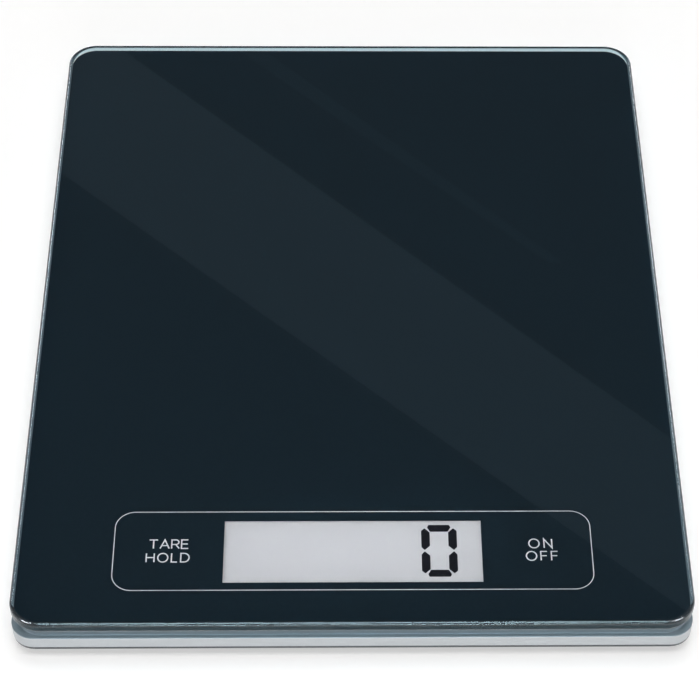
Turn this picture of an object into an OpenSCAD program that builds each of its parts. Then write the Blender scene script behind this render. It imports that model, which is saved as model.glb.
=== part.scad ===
// Flat kitchen scale: a glass weighing platform on a moulded tray that stands on four weighing feet.
// Millimetres. +Z is up, the feet stand on z = 0, the display is at the front, towards -Y.

/* [Platform] */
// Width of the glass platform, left to right
platform_width = 210; // [190:1:260]
// Length of the glass platform, front to rear
platform_length = 268.5; // [240:0.5:320]
// Radius of the platform's corners, seen from above
corner_r = 10; // [8:0.5:24]
// Thickness of the glass
glass_t = 4; // [4:0.5:6]
// Radius of the polished edges of the glass
arris_r = 1.2; // [0.5:0.1:1.8]
// Height of the glass's underside above the table
glass_z = 14; // [14:0.5:22]

/* [Display] */
// Width of the clear window in the back print
window_w = 80.6; // [50:0.2:84]
// Length of the window, front to rear
window_l = 24.2; // [16:0.2:26]
// Distance from the platform's front edge to the window
window_front = 17.6; // [15:0.2:24]
// Thickness of the enamel on the back of the glass
print_t = 0.15; // [0.1:0.05:0.3]
// Bare margin of glass around the enamel
print_margin = 1.3; // [0.5:0.1:2]
// Border of the display glass around the window, at the sides
lcd_border_x = 1.7; // [1:0.1:3]
// Border of the display glass around the window, front and rear
lcd_border_y = 1.8; // [1:0.1:2.4]
// Thickness of the display glass with its polarisers
lcd_t = 2.8; // [2:0.1:3]
// Thickness of the foam gasket between display glass and back print
gasket_t = 0.35; // [0.2:0.05:0.6]
// Width of the touch electrodes
key_w = 25; // [16:0.5:26]
// Length of the touch electrodes
key_l = 24; // [12:0.5:26]
// Bare glass between the display and each touch electrode
key_gap = 4; // [3:0.5:8]

/* [Tray] */
// How far the tray's side stands back from the edge of the glass
tray_inset = 0.3; // [0.2:0.1:3]
// Radius of the tray's corners, seen from above
tray_corner_r = 7; // [5:0.5:9]
// Height of the shadow gap between the glass and the tray's side
gap_h = 3.3; // [1.2:0.1:4]
// Height of the tray's upright side
skirt_h = 4.2; // [3:0.1:6]
// Clear height under the tray's flat belly
belly_h = 3; // [2.8:0.1:4]
// Run of the curved flank, from the tray's side to its belly
flank_run = 16; // [10:0.5:24]
// Fullness of the curved flank: 2 is a quarter ellipse, more is fuller at the edge
flank_fullness = 3.4; // [2:0.1:4]
// Thickness of the tray's side wall
wall_t = 2.4; // [2:0.1:3]
// Thickness of the tray's floor
floor_t = 2; // [1.6:0.1:2.2]
// Thickness of the lip that carries the tape at the outside
lip_t = 1; // [0.8:0.1:1.4]
// Width of the foam tape that bonds the glass
tape_w = 6.8; // [5:0.1:8]
// Thickness of the foam tape
tape_t = 0.85; // [0.5:0.05:1.2]
// Thickness of the stiffening ribs
rib_t = 1.6; // [1.2:0.1:2.4]
// Distance between stiffening ribs
rib_pitch = 28; // [20:1:40]
// Drop of the ribs' top below the tape
rib_drop = 1.5; // [1.4:0.1:2.5]

/* [Feet] */
// Distance of each foot's centre from the platform's front or rear edge
foot_inset = 32; // [30:0.5:34]
// Radius of a foot's rubber pad
pad_r = 7; // [5:0.1:8]
// Thickness of the rubber pad
pad_t = 1.6; // [1.4:0.1:2]
// How far the pad stands out of its cup
pad_proud = 1; // [0.6:0.1:1.2]
// Radius of a foot's moulded cup
cup_r = 8.2; // [8.2:0.1:9]
// Thickness of the cup
cup_t = 1.4; // [1.2:0.1:1.4]
// Radius of the cup's stem
stem_r = 5; // [4:0.1:6]
// Travel of a foot at the largest load
foot_travel = 0.4; // [0.2:0.05:0.4]

/* [Load cells] */
// Width of a load cell's steel plate
cell_w = 30; // [28:0.5:32]
// Length of the plate
cell_l = 34; // [32:0.5:36]
// Thickness of the plate
cell_t = 1.5; // [1.2:0.1:2]
// Height of the plate above the tray's floor
cell_lift = 2.5; // [2:0.1:2.6]
// Width of the tongue that is cut free in the plate
tongue_w = 11; // [9:0.5:12]
// Length of the tongue
tongue_l = 18; // [16:0.5:20]
// Width of the slot around the tongue
tongue_slot = 1.8; // [1:0.1:2.4]
// Distance of the foot's centre from the middle of the plate
tongue_offset = 4.5; // [3:0.5:5]
// Radius of the rivet that joins foot and tongue
rivet_r = 1.4; // [1:0.1:1.6]
// Radius of the screws' shanks
screw_r = 0.95; // [0.8:0.05:1.1]

/* [Battery bay] */
// Diameter of a battery
battery_d = 10.5; // [8.3:0.1:10.5]
// Length of a battery with its terminal
battery_l = 44.5; // [40:0.5:50]
// Free width beside each battery
battery_gap = 0.35; // [0.2:0.05:0.5]
// Length of a compressed contact spring
spring_l = 4.7; // [3.5:0.1:6]
// Distance of the bay's middle from the platform's middle, towards the rear
bay_y = 42; // [36:1:60]
// Thickness of the bay's walls
bay_wall = 1.6; // [1.2:0.1:2]
// Clear height under the battery cover
bay_clear = 0.7; // [0.5:0.05:0.8]
// Thickness of the battery cover
cover_t = 1.4; // [1.2:0.1:1.5]
// Thickness of the cover's side tongues
cover_tongue_t = 0.6; // [0.5:0.05:0.7]
// Reach of the cover's side tongues
cover_tongue_w = 1.3; // [0.8:0.1:1.6]

/* [Electronics] */
// How far the main board reaches past the display's holder, at each side
board_margin = 8; // [7:0.5:10]
// Length of the main board
board_l = 38; // [36:0.5:39]
// Thickness of the main board
board_t = 1.2; // [0.8:0.1:1.6]
// Diameter of the internal wires
wire_d = 1.1; // [0.8:0.1:1.2]
// Radius of the unit button
button_r = 4; // [3:0.1:5]
// Distance of the unit button from the main board's right end
button_inset = 20; // [14:0.5:26]
// Travel of the unit button
button_travel = 0.5; // [0.3:0.05:0.5]
// How far the unit button stands out of the belly
button_proud = 0.6; // [0.2:0.1:1]

/* [Hidden] */
$fn = 48;
hull_fn = 32;
eps = 0.01;
running = 0.2;          // clearance between sliding flat faces
guide = 0.35;           // radial clearance round a stem or button
snug = 0.05;            // clearance between pieces that are fixed together
bond = 0.02;            // play of a riveted or clamped seat

// Heights, from the top down
total_h = glass_z + glass_t;
print_z = glass_z - print_t;
lip_z = print_z - tape_t;
skirt_z = glass_z - gap_h;
edge_z = skirt_z - skirt_h;
rib_z = lip_z - rib_drop;
floor_z = belly_h + floor_t;
tray_l = platform_length - 2 * tray_inset;

// Curved flank of the tray: a quarter of a superellipse in flat steps
flank_steps = 10;
function flank_inset(k) = tray_inset + flank_run * (1 - pow(cos(90 * k / flank_steps), 2 / flank_fullness));
function flank_z(k) =
    belly_h + (edge_z - belly_h) * (1 - pow(sin(90 * k / flank_steps), 2 / flank_fullness));
function tray_corner(inset) = tray_corner_r - 0.2 * (inset - tray_inset);
function hollow_corner(inset) = corner_r - wall_t - 0.25 * inset - 0.75 * tray_inset;

// Tape and the double wall that carries it
tape_inset = tray_inset + wall_t - lip_t + 0.4;
inner_wall_t = 1.4;
inner_wall_inset = tape_inset + tape_w - 1;
inside_inset = inner_wall_inset + inner_wall_t;

// Width of display, holder and board
lcd_w = window_w + 2 * lcd_border_x;
holder_wall = 1.9;
holder_play = 0.15;
holder_w = lcd_w + 2 * (holder_play + holder_wall);
board_w = holder_w + 2 * board_margin;

// Feet and load cells: at the front they stand midway between board and inner wall
foot_x = (board_w / 2 + platform_width / 2 - inside_inset) / 2;
foot_y = platform_length / 2 - foot_inset;
cup_z = pad_proud;
cell_z = floor_z + cell_lift;
cell_top = cell_z + cell_t;
plate_y = tongue_offset;
slot_w = tongue_w + 2 * tongue_slot;
post_r = 2.6;
post_x = cell_w / 2 - 3;
post_y = cell_l / 2 - 3;
gauge = [4, 6, 0.4];
coat = [7.5, 8.5, 1.2];
gauge_y = plate_y + tongue_l / 2 - gauge[1] / 2;
coat_end = gauge_y + coat[1] / 2;
pocket_margin = 3;
rivet_head = [2.8, 0.8];
screw_head = [2.1, 1.3];
screw_l = 3.6;
support_r = 5;

// Battery bay: three cells in series, side by side
battery_count = 3;
contact_t = 0.4;
bay_w = battery_l + spring_l + 2 * contact_t;
bay_l = battery_count * battery_d + (battery_count + 1) * battery_gap;
bay_front = bay_y - bay_l / 2;
bay_rear = bay_y + bay_l / 2;
battery_pitch = battery_d + battery_gap;
cover_top = bay_clear + cover_t;
battery_z = cover_top + 0.15 + battery_d / 2;
roof_inner = battery_z + battery_d / 2 + 0.2;
roof_z = print_z - 0.1;
bay_seat = cover_top + 0.1;
terminal = [1.9, 1];
spring_r = battery_d * 0.31;
spring_wire = 0.35;
function battery_y(i) = bay_front + battery_gap + battery_d / 2 + i * battery_pitch;
function plus_side(i) = i % 2 == 0 ? 1 : -1;

// Battery cover and its rails
cover_lap = 0.6;
cover_x = bay_w / 2 + cover_lap;
cover_front = bay_front - 0.8;
rail_x = cover_x + running;
groove_x = rail_x + cover_tongue_w + 0.1;
rail_out = groove_x + 1.8;
groove_z = bay_clear + 0.7;
tongue_z = groove_z + 0.1;
bulge_front = cover_front - running - 2;
bulge_rear = bay_rear + bay_wall;
bulge_slope = 2.4;
cover_end_t = 1.2;

// Board and display
window_y = -platform_length / 2 + window_front + window_l / 2;
lcd_l = window_l + 2 * lcd_border_y;
lcd_top = print_z - gasket_t;
lcd_z = lcd_top - lcd_t;
holder_l = lcd_l + 2 * (holder_play + holder_wall);
strip_w = 2;
strip_h = 1.9;
board_top = lcd_z - strip_h;
board_z = board_top - board_t;
board_y = window_y + 2.2;
board_rear = board_y + board_l / 2;
board_screw_x = board_w / 2 - 3.5;
board_screw_y = board_l / 2 - 3;
board_field = [board_w + 3, board_rear + 8 + platform_length / 2];
chip_inset = 38;
chip_x = -board_w / 2 + chip_inset;
part_pitch = 8;
part_row = 9;
key_x = lcd_w / 2 + key_gap + key_w / 2;
electrode_t = 0.2;
contact_r = 2;
contact_wire = 0.25;
wire_pad_y = board_rear - 1.6;

// Unit button, its switch and the switch's plunger
button_x = board_w / 2 - button_inset;
button_y = board_y + 1;
button_z = belly_h - button_proud;
button_flange = [button_r + 1.6, 0.6];
flange_z = floor_z + snug;
plunger_r = 1.5;
plunger_z = flange_z + button_flange[1];
switch_z = plunger_z + button_travel + 0.15;
plunger_l = switch_z - plunger_z + 0.6;

// ---- shared shapes ----

// Rectangle with round corners, centred
module round_rect(w, l, r) {
    square([w - 2 * r, l], center = true);
    square([w, l - 2 * r], center = true);
    for (x = [-1, 1], y = [-1, 1])
        translate([x * (w / 2 - r), y * (l / 2 - r)])
            circle(r = r);
}

// The platform's outline, drawn in by inset
module outline(inset) {
    round_rect(platform_width - 2 * inset, platform_length - 2 * inset, max(corner_r - inset, 0.6));
}

// A ring between two insets of the platform's outline
module outline_ring(outer, inner, z0, z1) {
    translate([0, 0, z0])
        linear_extrude(z1 - z0)
            difference() {
                outline(outer);
                outline(inner);
            }
}

// A block with round upright edges, from z0 to z1
module plate(w, l, r, z0, z1) {
    translate([0, 0, z0])
        linear_extrude(z1 - z0)
            round_rect(w, l, r);
}

// Four thin discs at the corners of a rounded rectangle, for a hull
module hull_layer(w, l, r, z) {
    for (x = [-1, 1], y = [-1, 1])
        translate([x * (w / 2 - r), y * (l / 2 - r), z])
            cylinder(r = r, h = eps, $fn = hull_fn);
}

// Puts a shape at a foot, turned so that its +Y points to the middle of the scale
module at_foot(sx, sy) {
    translate([sx * foot_x, sy * foot_y, 0])
        mirror([0, sy > 0 ? 1 : 0, 0])
            children();
}

// The same shape at all four feet
module at_feet() {
    for (sx = [-1, 1], sy = [-1, 1])
        at_foot(sx, sy)
            children();
}

// Tube along a list of points: up is a direction that the path never takes
function unit(v) = v / norm(v);
function tangent(p, i) = unit(p[min(i + 1, len(p) - 1)] - p[max(i - 1, 0)]);
function ring_point(c, t, up, r, a) =
    let (s = unit(cross(t, up)), n = cross(s, t)) c + r * (cos(a) * s + sin(a) * n);
module tube(p, r, sides, up = [0, 0, 1]) {
    last = len(p) - 1;
    polyhedron(
        points = [for (i = [0:last], k = [0:sides - 1])
            ring_point(p[i], tangent(p, i), up, r, 360 * k / sides)],
        faces = concat(
            [[for (k = [0:sides - 1]) k]],
            [for (i = [0:last - 1], k = [0:sides - 1])
                let (a = i * sides + k, b = i * sides + (k + 1) % sides)
                    [a, a + sides, b + sides, b]],
            [[for (k = [sides - 1:-1:0]) last * sides + k]]));
}

// Smooth path through hand-chosen points
function blend4(a, b, c, d, t) =
    b + 0.5 * t * (c - a + t * (2 * a - 5 * b + 4 * c - d + t * (3 * (b - c) + d - a)));
function smooth(p, n) = concat(
    [for (i = [0:len(p) - 2], k = [0:n - 1])
        blend4(p[max(i - 1, 0)], p[i], p[i + 1], p[min(i + 2, len(p) - 1)], k / n)],
    [p[len(p) - 1]]);

// A wire's path: straight out of its first point, then smooth
function wire_path(p) = concat([p[0]], smooth([for (i = [1:len(p) - 1]) p[i]], 3));

// The path moved sideways in the plan view
function beside(p, d) = [for (i = [0:len(p) - 1])
    let (t = tangent(p, i), s = unit([t[1], -t[0], 0])) p[i] + d * s];

// Points of a coil along X, from radius r0 to r1
function coil(x0, x1, r0, r1, turns, steps) = [for (i = [0:turns * steps])
    let (u = i / (turns * steps), a = 360 * i / steps)
        [x0 + (x1 - x0) * u, (r0 + (r1 - r0) * u) * cos(a), (r0 + (r1 - r0) * u) * sin(a)]];

// ---- glass and what bonds it ----

// Section of the glass's edge: upright land with a polished arris above and below
module edge_section() {
    translate([-corner_r, 0])
        square([corner_r - arris_r, glass_t]);
    translate([-corner_r, arris_r])
        square([corner_r, glass_t - 2 * arris_r]);
    for (z = [arris_r, glass_t - arris_r])
        translate([-arris_r, z])
            circle(r = arris_r);
}

// Toughened glass plate: sides carried straight, corners turned
module glass_platform() {
    half_w = platform_width / 2;
    half_l = platform_length / 2;
    color("#13262c")
        translate([0, 0, glass_z]) {
            translate([-half_w + corner_r, -half_l + corner_r, 0])
                cube([platform_width - 2 * corner_r, platform_length - 2 * corner_r, glass_t]);
            for (a = [0, 180])
                rotate([0, 0, a]) {
                    translate([half_w, 0, 0])
                        rotate([90, 0, 0])
                            linear_extrude(platform_length - 2 * corner_r, center = true)
                                edge_section();
                    rotate([0, 0, 90])
                        translate([half_l, 0, 0])
                            rotate([90, 0, 0])
                                linear_extrude(platform_width - 2 * corner_r, center = true)
                                    edge_section();
                    translate([half_w - corner_r, half_l - corner_r, 0])
                        rotate_extrude(angle = 90)
                            translate([corner_r, 0])
                                edge_section();
                    translate([-half_w + corner_r, half_l - corner_r, 0])
                        rotate([0, 0, 90])
                            rotate_extrude(angle = 90)
                                translate([corner_r, 0])
                                    edge_section();
                }
        }
}

// Black enamel on the back of the glass, open at the display
module back_print() {
    color("#0a0d0f")
        translate([0, 0, print_z])
            linear_extrude(print_t)
                difference() {
                    outline(print_margin);
                    translate([0, window_y])
                        square([window_w, window_l], center = true);
                }
}

// Foam tape frame between tray and glass
module adhesive_frame() {
    color("#2a2d2f")
        outline_ring(tape_inset, tape_inset + tape_w, lip_z, print_z);
}

// Foam discs on rib crossings, under the glass
module support_pads() {
    crossings = [[2, 0], [-2, 0], [0, -1], [2, 2], [-2, 2], [0, 3]];
    color("#3a3d40")
        for (c = crossings)
            translate([c[0] * rib_pitch, c[1] * rib_pitch, rib_z])
                cylinder(r = support_r, h = print_z - rib_z);
}

// ---- tray ----

// The tray's outer form, up to the lip
module tray_form() {
    plate(platform_width - 2 * tray_inset, tray_l, tray_corner_r, edge_z, lip_z);
    hull()
        for (k = [0:flank_steps])
            hull_layer(platform_width - 2 * flank_inset(k), platform_length - 2 * flank_inset(k),
                tray_corner(flank_inset(k)), flank_z(k));
}

// The hollow inside the tray: the outer form moved in by the wall and up by the floor
module tray_hollow() {
    wall_inset = tray_inset + wall_t;
    plate(platform_width - 2 * wall_inset, platform_length - 2 * wall_inset, corner_r - wall_inset,
        edge_z + floor_t, lip_z + 1);
    hull()
        for (k = [0:flank_steps])
            hull_layer(platform_width - 2 * (flank_inset(k) + wall_t),
                platform_length - 2 * (flank_inset(k) + wall_t),
                hollow_corner(flank_inset(k)), flank_z(k) + floor_t);
}

// Field of the main board, seen from above, kept free of ribs
module board_gap() {
    translate([-board_field[0] / 2, -platform_length / 2])
        square(board_field);
}

// Keep-out fields of the rib grid, seen from above
module rib_gaps() {
    for (sx = [-1, 1], sy = [-1, 1])
        translate([sx * foot_x, sy * (foot_y - plate_y)])
            square([cell_w, cell_l] + [2, 2] * (pocket_margin + rib_t), center = true);
    board_gap();
    translate([0, bay_y])
        square([bay_w, bay_l] + [2, 2] * (bay_wall + 5), center = true);
}

// Grid of ribs on the floor, with a frame round each load cell
module ribs() {
    nx = floor((platform_width / 2 - inside_inset) / rib_pitch);
    ny = floor((platform_length / 2 - inside_inset) / rib_pitch);
    translate([0, 0, belly_h + 0.5])
        linear_extrude(rib_z - belly_h - 0.5)
            intersection() {
                outline(inside_inset - 0.5);
                union() {
                    difference() {
                        union() {
                            for (i = [-nx:nx])
                                translate([i * rib_pitch - rib_t / 2, -platform_length / 2])
                                    square([rib_t, platform_length]);
                            for (j = [-ny:ny])
                                translate([-platform_width / 2, j * rib_pitch - rib_t / 2])
                                    square([platform_width, rib_t]);
                        }
                        rib_gaps();
                    }
                    difference() {
                        for (sx = [-1, 1], sy = [-1, 1])
                            translate([sx * foot_x, sy * (foot_y - plate_y)])
                                cell_fence();
                        board_gap();
                    }
                }
            }
}

// Low fence round a load cell, open towards the middle for its wires
module cell_fence() {
    inner = [cell_w, cell_l] + [2, 2] * pocket_margin;
    difference() {
        square(inner + [2, 2] * rib_t, center = true);
        square(inner, center = true);
        square([cell_w - 8, inner[1] + 4 * rib_t], center = true);
    }
}

// Second wall inside the rim and the webs that tie it to the side wall
module double_wall() {
    web_pitch = 24;
    nx = floor((platform_width / 2 - corner_r) / web_pitch);
    ny = floor((platform_length / 2 - corner_r) / web_pitch);
    outline_ring(inner_wall_inset, inside_inset, belly_h + 0.5, lip_z + 1);
    translate([0, 0, belly_h + 0.5])
        linear_extrude(lip_z + 0.5 - belly_h)
            difference() {
                union() {
                    for (i = [-nx:nx])
                        translate([i * web_pitch - rib_t / 2, -platform_length / 2])
                            square([rib_t, platform_length]);
                    for (j = [-ny:ny])
                        translate([-platform_width / 2, j * web_pitch - rib_t / 2])
                            square([platform_width, rib_t]);
                }
                outline(inner_wall_inset + 0.5);
            }
}

// What stands on the tray's floor: ribs, wall, posts and the guides of feet and button
module tray_inside() {
    ribs();
    double_wall();
    at_feet() {
        translate([0, plate_y, 0])
            for (x = [-1, 1], y = [-1, 1])
                translate([x * post_x, y * post_y, belly_h + 0.5])
                    cylinder(r = post_r, h = cell_z - belly_h - 0.5);
        translate([0, 0, belly_h + 0.5])
            cylinder(r = stem_r + guide + 1.8, h = floor_z + 1.2 - belly_h - 0.5);
    }
    for (x = [-1, 1], y = [-1, 1])
        translate([x * board_screw_x, board_y + y * board_screw_y, belly_h + 0.5])
            cylinder(r = post_r, h = board_z - belly_h - 0.5);
}

// Holes in floor and posts
module tray_holes() {
    at_feet() {
        translate([0, 0, belly_h - 1])
            cylinder(r = stem_r + guide, h = 8);
        for (s = [-1, 1])
            translate([s * post_x, plate_y + s * post_y, cell_top - screw_l - 0.3])
                cylinder(r = screw_r + snug, h = screw_l);
    }
    for (x = [-1, 1], y = [-1, 1])
        translate([x * board_screw_x, board_y + y * board_screw_y, board_top - screw_l - 0.3])
            cylinder(r = screw_r + snug, h = screw_l);
    translate([button_x, button_y, belly_h - 1])
        cylinder(r = button_r + guide, h = floor_t + 2);
}

// Outside of the battery bay: a box inside the tray and a low bulge below the belly
module bay_form() {
    w = bay_w + 2 * bay_wall;
    translate([-w / 2, bay_front - bay_wall, belly_h])
        cube([w, bay_l + 2 * bay_wall, roof_z - belly_h]);
    difference() {
        translate([0, (bulge_front + bulge_rear) / 2, 0])
            hull() {
                hull_layer(2 * rail_out, bulge_rear - bulge_front + 8, 2, bay_clear);
                hull_layer(2 * (rail_out + bulge_slope), bulge_rear - bulge_front + 8 + 2 * bulge_slope,
                    4, belly_h + 0.3);
            }
        translate([-platform_width / 2, bulge_rear, 0])
            cube([platform_width, 20, total_h]);
    }
}

// Hollow of the bay, the cover's seat and its grooves
module bay_hollow() {
    seat_front = cover_front - running;
    difference() {
        translate([-bay_w / 2, bay_front, 0])
            cube([bay_w, bay_l, roof_inner]);
        for (i = [1:battery_count - 1])
            translate([0, battery_y(i) - battery_pitch / 2, roof_inner])
                cube([bay_w - 2 * spring_l, 1, 4], center = true);
    }
    translate([-rail_x, seat_front, bay_clear - 1])
        cube([2 * rail_x, bulge_rear + eps - seat_front, bay_seat + 1 - bay_clear]);
    translate([-groove_x, seat_front, groove_z])
        cube([2 * groove_x, bulge_rear + eps - seat_front, bay_seat - groove_z]);
    for (s = [-1, 1])
        translate([s * (bay_w / 2 + bay_wall / 2), tab_y(s), battery_z])
            cube([bay_wall + 1, 3.4, 1], center = true);
}

// Moulded tray: shell, ribs and posts in one piece
module base_tray() {
    color("#b9bec2")
        difference() {
            union() {
                difference() {
                    tray_form();
                    difference() {
                        tray_hollow();
                        tray_inside();
                    }
                    outline_ring(-5, tray_inset + wall_t - lip_t, skirt_z, lip_z + 1);
                }
                bay_form();
            }
            bay_hollow();
            tray_holes();
        }
}

// ---- load cells and feet ----

// Stamped spring-steel plate with a tongue cut free on three sides
module load_cell(sx, sy) {
    color("#8d949a")
        at_foot(sx, sy)
            translate([0, plate_y, cell_z])
                linear_extrude(cell_t)
                    difference() {
                        round_rect(cell_w, cell_l, 2);
                        difference() {
                            translate([-slot_w / 2, -tongue_l / 2 - tongue_slot])
                                square([slot_w, tongue_l + tongue_slot]);
                            translate([-tongue_w / 2, -tongue_l / 2])
                                square([tongue_w, tongue_l + 1]);
                        }
                        translate([0, -plate_y])
                            circle(r = rivet_r + 0.25);
                        for (s = [-1, 1])
                            translate([s * post_x, s * post_y])
                                circle(r = screw_r + 0.25);
                    }
}

// Foil gauges on the roots of the tongues
module strain_gauges() {
    color("#c8a24a")
        at_feet()
            translate([0, gauge_y, cell_top + gauge[2] / 2])
                cube(gauge, center = true);
}

// Silicone that covers each gauge
module gauge_coatings() {
    color("#e9e9e4")
        at_feet()
            translate([0, gauge_y, 0])
                difference() {
                    plate(coat[0], coat[1], 1.5, cell_top, cell_top + coat[2]);
                    translate([0, 0, cell_top])
                        cube([gauge[0], gauge[1], 2 * gauge[2]], center = true);
                }
}

// Pan-head screw, its seat at z = 0
module screw(length) {
    cylinder(r = screw_head[0], h = screw_head[1]);
    translate([0, 0, -length])
        cylinder(r = screw_r, h = length + eps);
}

// Two screws clamp each load cell to its posts
module load_cell_screws() {
    color("#9aa0a5")
        at_feet()
            for (s = [-1, 1])
                translate([s * post_x, plate_y + s * post_y, cell_top])
                    screw(screw_l);
}

// Moulded cup that holds the pad, with the stem that pushes the tongue
module foot_cup(sx, sy) {
    color("#3b3f42")
        at_foot(sx, sy)
            difference() {
                union() {
                    translate([0, 0, cup_z])
                        cylinder(r = cup_r, h = cup_t);
                    translate([0, 0, cup_z + cup_t - eps])
                        cylinder(r = stem_r, h = cell_z - bond - cup_z - cup_t + eps);
                }
                translate([0, 0, -1])
                    cylinder(r = pad_r + snug, h = pad_t + 1);
                translate([0, 0, cell_z - rivet_l()])
                    cylinder(r = rivet_r + snug, h = rivet_l() + 1);
            }
}

function rivet_l() = cell_z - cup_z - cup_t - 1;

// Rubber pad with a rounded rim
module foot_pad(sx, sy) {
    rim = 0.5;
    color("#232527")
        at_foot(sx, sy)
            rotate_extrude() {
                square([pad_r - rim, pad_t]);
                translate([0, rim])
                    square([pad_r, pad_t - rim]);
                translate([pad_r - rim, rim])
                    circle(r = rim);
            }
}

// Steel rivet that holds cup and tongue together
module foot_rivet(sx, sy) {
    color("#a7adb2")
        at_foot(sx, sy) {
            translate([0, 0, cell_z - rivet_l() + snug])
                cylinder(r = rivet_r, h = rivet_l() + cell_t + bond);
            translate([0, 0, cell_top + bond])
                cylinder(r = rivet_head[0], h = rivet_head[1]);
        }
}

// ---- electronics ----

// Circuit board with its four screw holes
module main_board() {
    color("#1f6b3a")
        translate([0, board_y, board_z])
            linear_extrude(board_t)
                difference() {
                    round_rect(board_w, board_l, 1.5);
                    for (x = [-1, 1], y = [-1, 1])
                        translate([x * board_screw_x, y * board_screw_y])
                            circle(r = screw_r + 0.25);
                }
}

// Screws that hold the board to its posts
module board_screws() {
    color("#9aa0a5")
        for (x = [-1, 1], y = [-1, 1])
            translate([x * board_screw_x, board_y + y * board_screw_y, board_top])
                screw(screw_l);
}

// Chip under a drop of black epoxy, on the board's lower face
module controller_chip() {
    drop_r = 6;
    drop_h = 1.6;
    ball_r = (drop_r * drop_r + drop_h * drop_h) / (2 * drop_h);
    color("#141414")
        translate([chip_x, board_y, board_z])
            intersection() {
                translate([0, 0, ball_r - drop_h])
                    sphere(r = ball_r, $fn = 96);
                translate([0, 0, -drop_h - 1])
                    cylinder(r = drop_r + 1, h = drop_h + 1);
            }
}

// Small parts soldered to the board's lower face
module board_components() {
    part = [3.2, 1.6, 1.1];
    crystal = [8, 3, 1.8];
    color("#6b5a3e")
        for (i = [-3, -2, -1, 1, 2], j = [-1, 1])
            translate([chip_x + i * part_pitch, board_y + j * part_row, board_z - part[2] / 2])
                cube(part, center = true);
    color("#b5b8ba")
        translate([chip_x + 3 * part_pitch, board_y, board_z - crystal[2] / 2])
            cube(crystal, center = true);
}

// Display glass
module lcd_glass() {
    color("#c9cdd0")
        translate([0, window_y, lcd_z])
            linear_extrude(lcd_t)
                square([lcd_w, lcd_l], center = true);
}

// Moulded frame that locates the display on the board
module lcd_holder() {
    ledge = 1.6;
    color("#e6e6e2")
        translate([0, window_y, board_top])
            difference() {
                linear_extrude(lcd_top - board_top)
                    round_rect(holder_w, holder_l, 1);
                translate([0, 0, lcd_z - board_top])
                    linear_extrude(lcd_t + 1)
                        square([lcd_w, lcd_l] + [2, 2] * holder_play, center = true);
                translate([0, 0, -1])
                    linear_extrude(lcd_t + 1)
                        square([lcd_w - 2 * ledge, lcd_l], center = true);
            }
}

// White light guide behind the display
module lcd_reflector() {
    color("#f2f2ee")
        translate([0, window_y, board_top])
            linear_extrude(strip_h)
                square([lcd_w - 6, lcd_l - 2 * strip_w - 2], center = true);
}

// Black foam frame between display glass and back print
module lcd_gasket() {
    color("#1a1a1a")
        translate([0, window_y, lcd_top])
            linear_extrude(gasket_t)
                difference() {
                    square([lcd_w, lcd_l], center = true);
                    square([window_w + 1, window_l + 1], center = true);
                }
}

// Conductive rubber strips from board to display
module zebra_strips() {
    color("#8a8f99")
        for (s = [-1, 1])
            translate([0, window_y + s * (lcd_l / 2 - strip_w / 2 - snug), board_top + strip_h / 2])
                cube([lcd_w - 5, strip_w, strip_h], center = true);
}

// Foil fields under the two touch keys
module touch_electrodes() {
    color("#c08a55")
        for (s = [-1, 1])
            translate([s * key_x, window_y, print_z - electrode_t])
                linear_extrude(electrode_t)
                    round_rect(key_w, key_l, 3);
}

// Coil springs that join the electrodes to the board
module touch_springs() {
    r = contact_wire;
    path = coil(board_top + r, print_z - electrode_t - r, contact_r, contact_r, 4, 12);
    color("#c9a85a")
        for (s = [-1, 1])
            translate([s * board_screw_x, window_y, 0])
                tube([for (p = path) [p[1], p[2], p[0]]], r, 6);
}

// ---- battery bay ----

// Three cells laid side by side, turned about in turn
module batteries() {
    body_l = battery_l - terminal[1];
    color("#2f4f3a")
        for (i = [0:battery_count - 1])
            translate([plus_side(i) * (bay_w / 2 - contact_t - battery_l), battery_y(i), battery_z])
                rotate([0, plus_side(i) * 90, 0]) {
                    cylinder(d = battery_d, h = body_l);
                    translate([0, 0, body_l - eps])
                        cylinder(r = terminal[0], h = terminal[1] + eps);
                }
}

// Tapered coil at each cell's flat end
module battery_springs() {
    w = spring_wire;
    path = coil(contact_t + w, contact_t + spring_l - w, spring_r, spring_r * 0.7, 3, 12);
    color("#c3c7ca")
        for (i = [0:battery_count - 1])
            translate([-plus_side(i) * bay_w / 2, battery_y(i), battery_z])
                mirror([plus_side(i) < 0 ? 1 : 0, 0, 0])
                    tube(path, w, 6, [1, 0, 0]);
}

// Plates at both ends of the bay: s is the side, i the first cell and n the cells that it joins
module contact_plate(s, i, n) {
    size = battery_d - 2;
    translate([s * (bay_w / 2 - contact_t / 2), battery_y(i) + (n - 1) * battery_pitch / 2, battery_z])
        cube([contact_t, size + (n - 1) * battery_pitch, size], center = true);
}

// The end cells' outgoing tabs pass through the bay's walls
function tab_y(s) = battery_y(s < 0 ? 0 : battery_count - 1);
module battery_contacts() {
    reach = bay_wall + 1.4;
    color("#b4babf")
        for (s = [-1, 1]) {
            contact_plate(s, s < 0 ? 0 : 2, 1);
            contact_plate(s, s < 0 ? 1 : 0, 2);
            translate([s * (bay_w / 2 - contact_t + reach / 2), tab_y(s), battery_z])
                cube([reach, 2.8, contact_t], center = true);
        }
}

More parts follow.
